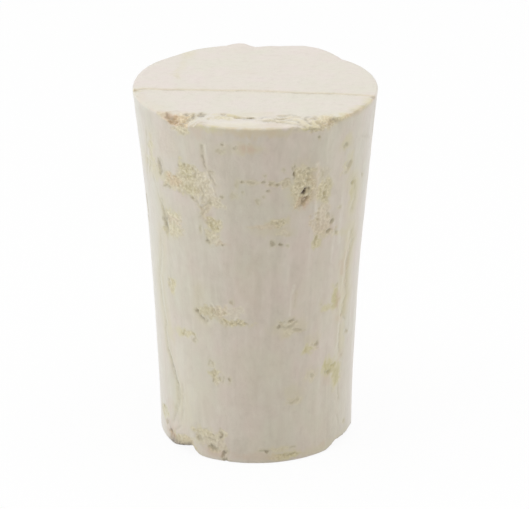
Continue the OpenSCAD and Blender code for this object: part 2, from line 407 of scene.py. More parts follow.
# Pores and pits: the dark, dusty holes of the bark, most of them under a millimetre across.
# Each row: bearing, height, width, tallness, lean, depth, darkness.
front_pits = [
    (24.7, 30.7, 0.6, 0.42, 20, 0.6, 0.8),
    (25.4, 31.0, 0.65, 0.5, -10, 0.45, 0.64),
    (26.6, 30.75, 0.5, 0.5, 0, 0.3, 0.16),
    (26.0, 30.0, 0.4, 0.6, -20, 0.5, 0.36),
    (24.3, 29.75, 0.5, 0.5, 0, 0.4, 0.38),
    (23.2, 29.35, 0.45, 0.8, -30, 0.4, 0.2),
    (26.1, 32.7, 0.5, 0.3, 0, 0.2, 0.3),
    (23.9, 33.1, 0.25, 0.3, 0, 0.2, 0.22),
    (22.1, 31.6, 0.3, 0.5, -10, 0.2, 0.22),
    (22.4, 29.9, 0.5, 0.3, 0, 0.2, 0.2),
    (18.5, 32.8, 0.35, 0.7, -10, 0.4, 0.55),
    (17.8, 33.5, 0.2, 0.5, 10, 0.2, 0.2),
    (18.8, 33.7, 0.2, 0.5, -10, 0.2, 0.18),
    (26.2, 33.3, 0.5, 0.3, 0, 0.25, 0.34),
    (25.8, 32.1, 0.5, 0.35, -20, 0.25, 0.32),
    (21.0, 31.8, 0.5, 0.3, 30, 0.25, 0.2),
    (-36.5, 33.3, 0.5, 0.6, 20, 0.3, 0.23),
    (-32.0, 33.0, 0.6, 0.35, -20, 0.25, 0.18),
    (-30.5, 32.3, 0.3, 0.8, -20, 0.25, 0.18),
    (-34.0, 32.1, 0.8, 0.3, 0, 0.2, 0.15),
    (22.5, 1.6, 0.7, 0.4, 10, 0.2, 0.18),
    (-54.4, 32.0, 1.0, 1.6, -12, 0.25, 0.36),
    (-50.0, 30.1, 1.3, 0.35, 12, 0.3, 0.23),
    (-22.0, 33.0, 0.7, 0.35, -20, 0.2, 0.18),
    (-23.2, 29.5, 0.7, 0.35, 15, 0.3, 0.23),
    (-16.8, 30.4, 0.5, 0.3, 0, 0.25, 0.18),
    (-15.8, 36.3, 0.4, 0.35, 0, 0.25, 0.23),
    (-9.5, 36.0, 0.9, 0.4, 10, 0.15, 0.15),
    (-16.5, 35.5, 0.8, 0.5, 0, 0.15, 0.13),
    (-3.0, 36.45, 0.3, 0.15, 0, 0.1, 0.18),
    (-54.0, 26.0, 0.9, 1.5, 0, 0.25, 0.42),
    (-51.9, 26.5, 0.5, 0.7, 0, 0.2, 0.28),
    (-55.4, 27.2, 0.7, 0.9, 20, 0.2, 0.18),
    (-53.2, 25.0, 0.8, 1.0, 20, 0.2, 0.16),
    (-23.0, 27.3, 0.7, 0.4, 0, 0.2, 0.15),
    (-25.2, 25.2, 0.5, 0.7, 20, 0.3, 0.26),
    (-29.5, 26.4, 0.25, 0.9, 0, 0.2, 0.15),
    (-17.0, 25.0, 0.4, 0.3, 20, 0.3, 0.23),
    (-2.0, 32.2, 1.0, 0.3, 0, 0.2, 0.2),
    (-6.5, 32.2, 0.4, 0.3, 0, 0.2, 0.18),
    (-9.0, 31.9, 0.4, 0.8, 0, 0.1, 0.1),
    (-6.0, 31.1, 0.4, 0.3, 0, 0.15, 0.13),
    (-10.0, 30.7, 0.8, 0.6, 0, 0.1, 0.1),
    (4.0, 32.25, 0.5, 0.3, 0, 0.25, 0.23),
    (4.7, 33.0, 0.4, 0.3, 0, 0.15, 0.13),
    (7.5, 32.0, 0.45, 0.35, 0, 0.25, 0.26),
    (10.5, 31.9, 0.45, 0.35, 0, 0.25, 0.26),
    (14.6, 31.9, 0.6, 0.4, -20, 0.2, 0.1),
    (13.5, 33.5, 0.4, 0.5, 0, 0.15, 0.11),
    (6.3, 31.2, 0.5, 0.35, 20, 0.25, 0.26),
    (4.0, 30.6, 0.3, 0.3, 0, 0.15, 0.1),
    (1.2, 30.1, 0.45, 0.6, 0, 0.2, 0.18),
    (30.8, 36.6, 0.3, 0.35, 0, 0.2, 0.45),
    (48.5, 34.8, 0.8, 0.5, 0, 0.2, 0.3),
    (52.0, 32.4, 0.7, 0.9, 0, 0.2, 0.25),
    (49.5, 31.7, 0.7, 0.35, -10, 0.15, 0.13),
    (56.0, 30.1, 0.8, 0.5, -15, 0.25, 0.3),
    (67.0, 30.2, 0.9, 0.4, -15, 0.15, 0.13),
    (42.4, 26.7, 0.5, 0.8, -20, 0.35, 0.32),
    (40.0, 25.7, 0.9, 0.5, 40, 0.35, 0.38),
    (46.0, 25.3, 0.6, 0.4, 0, 0.2, 0.18),
    (39.5, 27.5, 0.5, 0.6, 0, 0.2, 0.15),
    (47.5, 28.0, 0.6, 0.3, 0, 0.15, 0.1),
    (32.5, 25.2, 0.35, 1.2, -15, 0.25, 0.18),
    (32.2, 28.0, 0.4, 0.3, 0, 0.2, 0.18),
    (32.3, 27.3, 0.4, 0.3, 0, 0.2, 0.15),
    (36.3, 30.0, 0.4, 0.9, 0, 0.25, 0.18),
    (34.0, 32.4, 0.3, 0.7, 0, 0.15, 0.13),
    (9.3, 25.3, 0.5, 0.6, -15, 0.25, 0.45),
    (13.0, 25.2, 0.5, 0.45, 0, 0.25, 0.4),
    (16.5, 25.0, 0.4, 0.3, 0, 0.15, 0.13),
    (11.0, 27.5, 0.4, 0.4, 0, 0.2, 0.18),
    (-34.0, 16.9, 0.8, 0.6, 20, 0.3, 0.08),
    (-16.5, 17.2, 0.5, 0.3, 0, 0.2, 0.15),
    (-13.0, 18.6, 0.5, 0.4, 0, 0.2, 0.18),
    (-5.0, 16.3, 0.5, 0.25, -20, 0.25, 0.2),
    (-9.0, 16.15, 0.5, 0.25, 0, 0.2, 0.15),
    (-13.5, 16.2, 0.4, 0.25, 0, 0.2, 0.15),
    (-54.5, 18.8, 0.7, 0.8, 0, 0.15, 0.14),
    (-44.5, 13.8, 0.6, 0.5, 20, 0.2, 0.18),
    (-36.5, 13.4, 0.6, 0.5, 0, 0.2, 0.18),
    (-37.5, 14.1, 0.4, 0.5, 0, 0.15, 0.13),
    (-15.0, 9.6, 0.35, 0.8, -10, 0.25, 0.2),
    (-20.5, 9.6, 0.4, 0.4, 0, 0.2, 0.15),
    (-25.0, 9.3, 0.25, 0.6, 0, 0.2, 0.18),
    (19.2, 16.3, 0.8, 0.3, 15, 0.3, 0.28),
    (12.6, 15.8, 0.35, 0.8, -20, 0.3, 0.26),
    (14.3, 16.25, 0.6, 0.25, 20, 0.2, 0.18),
    (23.5, 15.2, 1.5, 0.35, -15, 0.2, 0.18),
    (35.9, 13.1, 0.8, 0.4, 40, 0.3, 0.12),
    (38.3, 17.5, 0.4, 0.6, 0, 0.1, 0.1),
    (49.0, 19.0, 0.6, 0.4, 0, 0.15, 0.15),
    (34.0, 9.5, 0.6, 0.4, 0, 0.2, 0.2),
    (46.2, 9.2, 0.7, 0.5, 0, 0.3, 0.26),
    (50.0, 9.9, 0.9, 0.4, -20, 0.2, 0.15),
    (20.5, 6.8, 0.8, 0.3, 5, 0.2, 0.18),
    (23.5, 7.1, 0.7, 0.4, 20, 0.15, 0.15),
    (62.5, 12.9, 0.9, 0.4, -25, 0.2, 0.24),
    (65.0, 2.3, 0.8, 0.4, -25, 0.15, 0.13),
    (-35.5, 2.1, 0.55, 1.0, -20, 0.3, 0.3),
    (-28.0, 2.4, 0.8, 0.4, 0, 0.2, 0.26),
    (-27.0, 1.7, 0.4, 0.5, 0, 0.2, 0.2),
    (-26.2, 1.4, 0.9, 0.55, 0, 0.3, 0.45),
    (-25.8, 2.4, 0.5, 0.35, 0, 0.2, 0.18),
    (-26.0, 2.9, 0.8, 0.3, 0, 0.2, 0.18),
    (-20.5, 3.0, 0.35, 0.9, -10, 0.3, 0.3),
    (-18.9, 0.9, 0.55, 1.2, -30, 0.35, 0.38),
    (-71.0, 3.5, 0.8, 0.6, 0, 0.2, 0.15),
    (-66.5, 2.0, 0.9, 0.35, 15, 0.25, 0.2),
    (-61.5, 1.3, 1.2, 0.5, 15, 0.35, 0.33),
    (-17.6, 0.2, 0.6, 0.7, -20, 0.3, 0.45),
    (7.0, 1.4, 0.5, 0.35, 0, 0.3, 0.34),
    (4.0, 1.55, 1.1, 0.2, 5, 0.2, 0.2),
    (20.0, 0.85, 1.6, 0.2, 0, 0.2, 0.12),
]
# Pores that the side cuts lengthwise, left and right, show as short level rows of pits.
for _ in range(14):
    place, level = rng.choice([-1, 1]) * rng.uniform(97, 120), rng.uniform(2, 36)
    reach, rows_up = rng.uniform(4, 14), rng.uniform(-0.6, 0.6)
    back_patches.append((place, level, reach * 0.2, 0.8, 0, 0.7))
    for share in np.linspace(-1, 1, rng.integers(4, 9)):
        back_pits.append((
            place + reach * share + rng.normal(0, 0.5),
            level + rows_up * share + rng.normal(0, 0.12),
            rng.uniform(0.4, 1.2),
            rng.uniform(0.2, 0.4),
            rng.uniform(-20, 20),
            rng.uniform(0.2, 0.4),
            rng.uniform(0.12, 0.35),
        ))
for _ in range(34):
    back_pits.append((
        rng.uniform(84, 276),
        rng.uniform(0.8, 37),
        rng.uniform(0.3, 0.9),
        rng.uniform(0.25, 0.6),
        rng.uniform(-40, 40),
        rng.uniform(0.2, 0.5),
        rng.uniform(0.1, 0.4),
    ))
for place, level, wide, tall, lean, deep, gloom in front_pits + back_pits:
    hole(*beside(place, level, lean), wide, tall, deep, gloom, inwards, on_side)

# Growth lines and cracks: the edges of the bark's growth layers run up the side as wavering,
# faintly sunk lines, and short cracks edge the crumbled places.

def off_run(right, up, run):
    """Distance from a straight run, for points measured from its start, in mm."""
    share = np.clip((right * run[0] + up * run[1]) / (run[0] ** 2 + run[1] ** 2), 0, 1)
    return np.hypot(right - share * run[0], up - share * run[1])


def along(places, wide):
    """Distance of each point on the side from a line that bends and wavers, in mm."""
    nearest = np.full(len(grid), far_off)
    for (start, low_end), (end, high_end) in zip(places, places[1:]):
        run = np.radians(end - start) * side_r(low_end), high_end - low_end
        nearest = np.minimum(nearest, off_run(*beside(start, low_end), run))
    return nearest + (0.3 * ragged + 0.15 * frayed) * wide


# Each row: width, depth, darkness, yellow, and the places (bearing, height) it runs through.
creases = [
    (0.90, 0.04, 0.20, 0.5, [
        (-59, 24), (-60.5, 22), (-62.5, 20.3), (-65.5, 19), (-64.5, 17), (-64, 15.8), (-61, 14.2),
    ]),
    (0.60, 0.05, 0.20, 0.5, [(-61, 14.2), (-62.5, 13), (-61, 11), (-58, 10)]),
    (0.60, 0.12, 0.36, 0.2, [(-60.5, 10.6), (-58, 10), (-56, 9.3), (-54, 8.3), (-52, 7.4)]),
    (0.65, 0.06, 0.24, 0.5, [(-52, 7.4), (-51, 6.5), (-52, 5.3), (-54, 4.5)]),
    (0.70, 0.06, 0.30, 0.5, [(-56, 28.2), (-55, 27.3), (-54.6, 26.3), (-53.6, 25.5), (-53, 24.7)]),
    (0.20, 0.04, 0.18, 0.2, [(-62, 30.5), (-59, 29), (-57, 28)]),
    (0.60, 0.05, 0.20, 0.2, [(-54, 4.5), (-55, 3.8), (-58, 2.8)]),
    (0.45, 0.05, 0.14, 0.2, [(-47.5, 7.6), (-47.5, 5.5), (-49, 3.6)]),
    (0.35, 0.05, 0.15, 0.2, [(-50, 2.6), (-55, 2.0)]),
    (0.50, 0.05, 0.20, 0.3, [(-64, 35.2), (-65.5, 33.6), (-68, 31.5), (-70, 30.2)]),
    (0.50, 0.05, 0.20, 0.5, [(-63, 32), (-66, 30.7)]),
    (0.90, 0.06, 0.25, 1.0, [(57.5, 30.4), (60.5, 29.2), (60.5, 28), (58.5, 27.2)]),
    (1.00, 0.08, 0.24, 1.0, [
        (60, 24.4), (61.5, 23.2), (59.5, 22), (58, 21), (58.5, 20),
        (58, 19), (59, 18), (60, 17.2), (57.5, 16.3), (57, 15.5),
    ]),
    (0.35, 0.06, 0.25, 0.1, [(55, 15.2), (58, 14.8), (61, 14.4)]),
    (0.50, 0.05, 0.18, 0.4, [(55, 14), (54.5, 12), (56.5, 10.5), (58.5, 10.4)]),
    (0.35, 0.05, 0.15, 0.2, [(56, 7), (57, 5.5)]),
    (0.30, 0.05, 0.15, 0.0, [(56, 3.6), (57.5, 2.6)]),
    (0.40, 0.05, 0.14, 0.1, [(60, 35), (66, 34.5), (73, 33.8)]),
    (0.30, 0.14, 0.42, 0.0, [(-79.5, 27.0), (-79, 26.2), (-78, 25.2)]),
    (0.24, 0.12, 0.36, 0.0, [(-79, 24.7), (-78.5, 23.7)]),
    (0.34, 0.10, 0.40, 0.3, [(-26, 35.8), (-25.8, 34.5), (-25, 33.6)]),
    (0.30, 0.06, 0.18, 0.3, [(-25, 33.6), (-23.3, 33), (-21.3, 32.2), (-19.6, 31.6)]),
    (0.30, 0.08, 0.28, 0.3, [(-38, 30.1), (-34, 29.9), (-30, 29.4), (-28.5, 28.9)]),
    (0.30, 0.08, 0.18, 0.2, [(-28.5, 28.9), (-26.5, 29), (-24.5, 29.4)]),
    (0.35, 0.08, 0.28, 0.2, [(-29.3, 27.7), (-26.5, 28.5), (-24.5, 28.9)]),
    (0.20, 0.06, 0.25, 0.3, [(-31.5, 33.2), (-30, 32.6), (-31, 32)]),
    (0.18, 0.06, 0.25, 0.4, [(-28, 31), (-26.5, 30.4), (-27.5, 29.8)]),
    (0.55, 0.14, 0.48, 0.4, [(-34, 16.9), (-31, 16.3), (-28, 16.05)]),
    (0.20, 0.08, 0.35, 0.3, [(-24.6, 17.9), (-23.2, 17.5), (-22, 17)]),
    (0.20, 0.08, 0.30, 0.3, [(-19, 16.3), (-18, 15.8), (-16.5, 15.7)]),
    (0.34, 0.08, 0.26, 0.4, [(13.5, 15.7), (16, 15.6), (18.5, 15.65), (21, 15.75), (22.3, 16.1)]),
    (0.25, 0.04, 0.14, 0.3, [(21, 17.8), (21.6, 18.6), (22, 19.4)]),
    (0.70, 0.04, 0.10, 0.3, [(-32.5, 17.8), (-32, 18.6), (-32.3, 19.5)]),
    (0.18, 0.05, 0.25, 0.3, [(-27.5, 11), (-26.5, 11.6), (-25, 11.3), (-24.5, 10.9)]),
    (0.18, 0.05, 0.22, 0.3, [(-18.8, 9.3), (-18.2, 9.9)]),
    (0.30, 0.06, 0.25, 0.3, [(76, 37.9), (80, 35), (86, 28), (88, 18), (85, 9), (87, 1)]),
    (0.30, 0.06, 0.25, 0.3, [(-84, 37.9), (-87, 29), (-85, 20), (-88, 10), (-86, 1)]),
    (0.35, 0.09, 0.35, 0.6, [(118, 37), (120, 30), (117, 22), (121, 14), (124, 6), (122, 1)]),
    (0.35, 0.08, 0.35, 0.5, [(-121, 37), (-117, 31), (-119, 24), (-124, 15), (-121, 8), (-125, 1)]),
    (0.25, 0.10, 0.45, 0.4, [(152, 35), (154, 30), (151, 24)]),
    (0.25, 0.10, 0.45, 0.4, [(-150, 19), (-147, 12), (-149, 5)]),
]
for wide, deep, gloom, yellow, places in creases:
    off = along(places, wide)
    groove = np.exp(-(off / (0.45 * wide)) ** 2) * on_side * ease(0.8 + 0.7 * frayed)
    inwards += deep * groove
    np.maximum(dust_and_shade, gloom * groove, out=dust_and_shade)
    np.maximum(stain, yellow * np.exp(-(off / (wide * 1.2)) ** 2) * on_side, out=stain)

# Fine pale ridges stand between the crumbled places.
# Each row: width, height above the side, paleness, and the places it runs through.
ridges = [
    (0.25, 0.06, 0.6, [(-24, 33.2), (-22.2, 32), (-20.8, 31), (-20.2, 30.4)]),
    (0.25, 0.05, 0.5, [(-24, 35.9), (-23.6, 34.8), (-23.2, 34)]),
    (0.25, 0.06, 0.5, [(-28, 28.3), (-29.2, 29), (-27.5, 29.6)]),
    (0.30, 0.05, 0.5, [(-24.2, 18.1), (-22.5, 17.6), (-21.3, 17)]),
    (0.25, 0.05, 0.5, [(-26, 17.9), (-25, 17.2), (-24.6, 16.6)]),
    (0.30, 0.05, 0.6, [(18.5, 17), (19, 18), (19, 19), (21, 20.3)]),
    (0.50, 0.09, 1.0, [(30.4, 33.6), (30.8, 31.5), (30.6, 29.5), (31.3, 27.8)]),
    (0.25, 0.05, 0.7, [(34.2, 28.5), (34.6, 27.6), (34.8, 26.6)]),
    (0.30, 0.04, 0.4, [(36, 37), (35.8, 35), (36.2, 33.4)]),
    (0.40, 0.06, 0.6, [(51.6, 18.6), (51.8, 17.2), (52, 16)]),
    (0.90, 0.04, 0.3, [(38.5, 37), (39.5, 33), (39, 29.5)]),
    (0.60, 0.05, 0.36, [(48, 29), (47.5, 26.5), (48.5, 24)]),
    (0.50, 0.04, 0.3, [(43.5, 26.4), (44, 24.5), (43.5, 22)]),
    (0.60, 0.04, 0.24, [(29, 27), (28.5, 22), (29, 15)]),
    (0.50, 0.04, 0.24, [(17, 25), (16.5, 20), (17, 17)]),
    (0.60, 0.04, 0.24, [(38, 16), (39, 11), (38.5, 5)]),
    (0.50, 0.05, 0.5, [(56, 24.5), (55, 22), (54, 19), (53.5, 16), (53, 12)]),
    (0.55, 0.04, 0.4, [
        (-57.5, 24), (-59, 22), (-61, 20.3), (-63.2, 19), (-62.3, 17), (-61.5, 15.8), (-59.5, 14.2),
    ]),
    (0.30, 0.06, 0.7, [(-61.5, 34), (-60.6, 33.4)]),
    (0.30, 0.05, 0.4, [(16, 16.05), (18.6, 15.95)]),
    (0.25, 0.04, 0.4, [(55, 9.95), (57.5, 9.75), (60, 9.5)]),
]
for wide, proud, light, places in ridges:
    off = along(places, wide)
    ridge = np.exp(-(off / (0.5 * wide)) ** 2) * on_side * ease(0.9 + 0.6 * frayed)
    inwards -= proud * ridge
    np.maximum(pale, light * ridge, out=pale)

# Stains: faint yellow, olive and pinkish tints soaked into the bleached bark.
# Each row: layer, bearing, height, width, tallness, lean, strength.
tints = [
    (rust, -3, 35.8, 1.7, 0.9, 0, 0.9),
    (rust, -26.5, 28.2, 1.4, 1.6, 0, 0.3),
    (pale, -72, 33.5, 3.0, 6.0, 0, 0.22),
    (pale, 52, 15.0, 3.0, 14.0, 0, 0.3),
    (pale, 41, 34.6, 2.0, 3.6, 0, 0.25),
    (pale, 38, 28.0, 1.6, 2.6, 0, 0.3),
    (pale, 48, 18.0, 2.2, 5.0, 0, 0.2),
    (pale, 50, 9.5, 1.6, 3.0, 0, 0.3),
    (pale, -48, 9.5, 2.0, 7.0, 0, 0.3),
    (rust, -4, 20.5, 3.0, 6.0, 0, 0.16),
    (stain, -4, 35.8, 3.8, 1.3, 0, 0.55),
    (stain, -15, 35.8, 2.6, 1.3, 0, 0.3),
    (rust, -45, 31.0, 2.0, 1.3, 10, 1.0),
    (stain, -45, 30.9, 2.8, 1.7, 10, 1.2),
    (rust, -25, 31.4, 3.2, 2.6, 0, 0.2),
    (stain, -34, 30.6, 2.2, 1.3, 0, 1.35),
    (stain, -34, 32.3, 2.0, 1.5, 0, 1.4),
    (stain, -36.5, 33.2, 1.2, 1.2, 0, 1.3),
    (stain, -57, 31.0, 3.4, 1.0, 10, 0.7),
    (stain, -61.5, 33.4, 1.4, 3.2, 0, 0.9),
    (stain, -63, 31.6, 2.6, 1.6, 10, 0.8),
    (stain, -72, 31.5, 3.0, 3.0, 0, 0.4),
    (pale, -25, 31.5, 3.0, 3.0, 0, 0.7),
    (stain, 23.5, 31.5, 3.0, 4.4, 0, 0.95),
    (rust, 24.0, 29.5, 1.1, 1.5, -30, 0.9),
    (rust, 24.5, 29.8, 1.2, 0.8, 0, 1.0),
    (stain, 35.5, 30.5, 2.0, 2.6, 0, 1.2),
    (rust, 30, 31.4, 0.9, 4.4, 0, 0.4),
    (rust, 35, 27.2, 2.2, 3.2, 0, 0.3),
    (stain, 49.5, 35.0, 1.8, 1.4, 0, 0.8),
    (stain, 52, 32.6, 1.6, 2.0, 0, 0.85),
    (stain, 58.5, 29.2, 1.6, 3.2, 0, 1.4),
    (stain, 33, 24.8, 1.2, 1.6, 0, 1.2),
    (stain, 38, 25.8, 2.2, 1.2, 20, 0.5),
    (stain, 55, 24.6, 4.4, 0.8, -15, 0.7),
    (rust, 43, 26.0, 1.2, 0.8, -20, 0.3),
    (stain, -22, 27.2, 1.8, 1.6, 0, 1.4),
    (stain, -23, 25.9, 2.0, 0.9, 0, 0.5),
    (stain, -50, 27.2, 2.8, 1.2, 15, 0.9),
    (stain, -51, 25.2, 3.0, 1.4, 15, 0.9),
    (rust, -47, 26.5, 1.8, 0.8, 0, 0.5),
    (rust, -17.5, 25.2, 1.6, 0.6, 0, 0.4),
    (stain, -57, 25.0, 1.8, 1.4, 0, 0.35),
    (stain, 11.5, 27.5, 2.4, 1.1, 0, 0.6),
    (rust, 4, 27.2, 2.6, 0.6, 0, 0.3),
    (stain, 8, 26.7, 4.4, 1.2, 0, 0.35),
    (stain, -29, 17.0, 2.4, 1.2, 0, 1.0),
    (rust, -20, 17.4, 1.8, 1.3, 0, 0.35),
    (stain, -11.5, 16.3, 3.2, 0.7, 0, 1.1),
    (pale, -13, 17.6, 3.4, 1.6, 0, 0.4),
    (stain, -44, 13.9, 2.4, 0.8, 8, 1.2),
    (stain, -51.5, 18.6, 1.3, 1.8, 0, 1.2),
    (stain, -58, 13.4, 1.6, 3.0, 0, 0.6),
    (stain, -23.5, 10.2, 1.3, 1.2, 0, 0.8),
    (stain, 19, 15.6, 3.6, 2.0, 0, 0.45),
    (stain, 30.5, 12.6, 1.2, 0.9, 0, 1.4),
    (stain, 34, 13.6, 1.8, 1.4, 0, 0.35),
    (stain, 48.8, 17.6, 1.1, 2.6, 0, 1.75),
    (stain, 44.5, 16.7, 1.8, 1.2, 0, 1.2),
    (rust, 51.5, 17.2, 0.8, 2.2, 0, 0.5),
    (rust, 53.5, 14.9, 1.6, 1.0, -20, 0.35),
    (rust, 54.8, 21.0, 1.1, 1.8, 0, 0.6),
    (stain, 57, 17.6, 2.0, 3.6, 0, 0.8),
    (stain, 58, 22.0, 1.2, 6.0, 0, 0.9),
    (rust, 57.5, 20.5, 1.0, 7.0, 0, 0.35),
    (stain, 57, 12.0, 1.2, 5.0, 0, 0.7),
    (rust, 67, 24.2, 1.4, 1.4, 0, 0.35),
    (stain, 46.5, 9.8, 1.5, 2.1, -10, 1.8),
    (stain, 50, 9.5, 2.4, 1.5, -25, 1.75),
    (stain, 54, 8.5, 1.7, 2.8, -10, 1.8),
    (rust, 45.5, 8.4, 1.6, 0.9, -20, 0.35),
    (stain, 33.5, 9.6, 2.0, 1.6, 0, 0.35),
    (stain, 22, 7.8, 2.2, 2.2, 0, 0.35),
    (rust, 58.5, 10.5, 1.2, 1.2, 0, 0.35),
    (stain, -71, 2.9, 2.2, 1.7, 15, 1.3),
    (rust, -62, 1.6, 2.8, 1.4, 10, 0.6),
    (rust, -61, 4.4, 1.2, 1.6, 0, 0.25),
    (pale, -46, 5.5, 2.4, 5.4, 0, 0.4),
    # Painted light: the next tint lightens the shaded, rounded corner at the wedge's wall.
    (pale, -39.2, 1.2, 1.5, 2.2, 0, 0.5),
    (stain, -47, 5.0, 2.4, 5.0, 0, 0.25),
    (stain, -30, 3.0, 4.2, 1.0, 0, 0.6),
    (rust, -26, 0.8, 2.4, 0.8, 0, 0.6),
    (rust, 0, 0.8, 5.0, 0.9, 0, 0.45),
    (stain, 18, 0.8, 3.6, 0.7, 0, 1.4),
    (stain, 15, 1.6, 2.2, 0.7, 0, 0.6),
    (stain, 38, 0.7, 4.4, 0.9, 0, 0.45),
    (rust, 43.5, 1.0, 0.8, 0.7, 0, 0.4),
    (stain, 66, 0.9, 4.0, 0.7, 0, 0.4),
]
# Faint grey shades lie under them; the one low in the wedge's break is painted shade.
# Each row: bearing, height, width, tallness, strength.
shades = [
    (-36, 31.0, 3.6, 2.6, 0.09),
    (-31, 31.5, 2.4, 2.6, 0.05),
    (-26.5, 28.2, 1.4, 1.8, 0.12),
    (-28.5, 17.0, 2.4, 1.4, 0.16),
    (-29, 1.6, 5.0, 1.6, 0.08),
    (-79, 26.0, 1.0, 2.4, 0.12),
    (-1, 29.0, 2.0, 2.6, 0.08),
    (-4, 24.0, 2.4, 4.0, 0.07),
    (14, 18.5, 2.4, 4.0, 0.07),
    (19, 8.0, 2.4, 3.0, 0.05),
    (-10, 2.0, 2.0, 2.4, 0.08),
    (0, 6.0, 3.6, 4.0, 0.05),
    (-52, 0.9, 4.4, 1.4, 0.1),
]
for place, level, wide, tall, strength in shades:
    blot(dust_and_shade, strength, *beside(place, level), wide, tall, soft=1.0)
for layer, place, level, wide, tall, lean, strength in tints:
    blot(layer, strength, *beside(place, level, lean), wide, tall, soft=1.0)
for place, level, wide, tall, lean, strength in back_patches:
    blot(stain, 0.6 * strength, *beside(place, level, lean), wide * 1.5, tall * 1.5, soft=1.2)

# The head: the cut face of the wide end. One growth line runs right across it. An open crack
# lies just behind the front rim and leaves a narrow lip there, with a crumbled chip at the lip's
# left end and a shallower one at its right. The back of the rim is a little out of round.

x_across, y_back = grid[:, 0], grid[:, 1]
on_head = np.where(part == 2, 1.0, np.exp(-(below_head / rim_blend) ** 2))
head_inset = inset * (part == 2)    # distance in from the head's rim, in mm

# Each row: bearing, how far the rim stands out of round, and how far it stands up, in mm.
rim_shape = np.array([
    (-180, -0.30, 0.00),
    (-177, 0.15, 0.02),
    (-175, 0.55, 0.10),
    (-172, 0.60, 0.16),
    (-169, 0.50, 0.14),
    (-166, 0.42, 0.04),
    (-160, 0.45, 0.03),
    (-151, 0.50, 0.02),
    (-140, 0.25, 0.0),
    (-133, 0.25, 0.0),
    (-125, 0.38, 0.0),
    (-113, 0.32, 0.0),
    (-100, 0.22, 0.0),
    (-70, 0.10, 0.0),
    (-50, 0.00, 0.0),
    (85, 0.0, 0.0),
    (100, 0.06, 0.0),
    (118, 0.10, 0.0),
    (127, -0.05, 0.02),
    (132, -0.18, 0.0),
    (138, 0.10, 0.07),
    (143, 0.44, 0.08),
    (150, 0.80, 0.10),
    (157, 0.90, 0.06),
    (162, 0.70, 0.0),
    (168, 0.30, -0.02),
    (174, 0.10, 0.0),
    (180, -0.30, 0.0),
]).T
out_of_round, stands_up = (np.interp(np.degrees(bearing), rim_shape[0], row) for row in rim_shape[1:])
stand_wide = 1.5                    # how far in from the rim it still stands up, in mm
out_of_round_down = 15              # how far down the side the shape of the rim fades out, in mm
sunk -= stands_up * np.exp(-(head_inset / stand_wide) ** 2)
fade_down = ease(1 - below_head / out_of_round_down)
spread = fade_down * np.where(part == 2, radius / ring_radii[-1], 1) * (part != 1)


def chipped(place, wide, deep_in, deep_down):
    """How far the head's rim is broken down at each point, for a chip centred on a bearing."""
    bite = np.sqrt(np.clip(1 - (turn_from(place) * head_r / (wide / 2) + 0.18 * ragged) ** 2, 0, 1))
    reach = np.maximum(deep_in * bite * (1 + 0.35 * ragged), 0.02)
    return deep_down * bite * np.clip(1 - head_inset / reach, 0, 1) ** 1.3 * (1 + 0.3 * frayed)


def dented(place, wide, deep, down):
    """How far the top of the side is pushed in under the rim, for a dent centred on a bearing."""
    across = ease(1.2 - np.abs(turn_from(place) * head_r) / (wide / 2) + 0.15 * ragged)
    lengthwise = np.where(part == 2, (radius / ring_radii[-1]) ** 6, ease(1 - below_head / down))
    return deep * across * lengthwise * (part != 1)


drop = np.maximum(chipped(-39.5, 4.2, 2.0, 0.55), chipped(31.5, 4.6, 1.7, 0.38))
push = dented(-30, 3.6, 0.05, 1.8) + dented(-41, 2.6, 0.25, 1.6) + dented(38, 2.4, 0.2, 1.4)

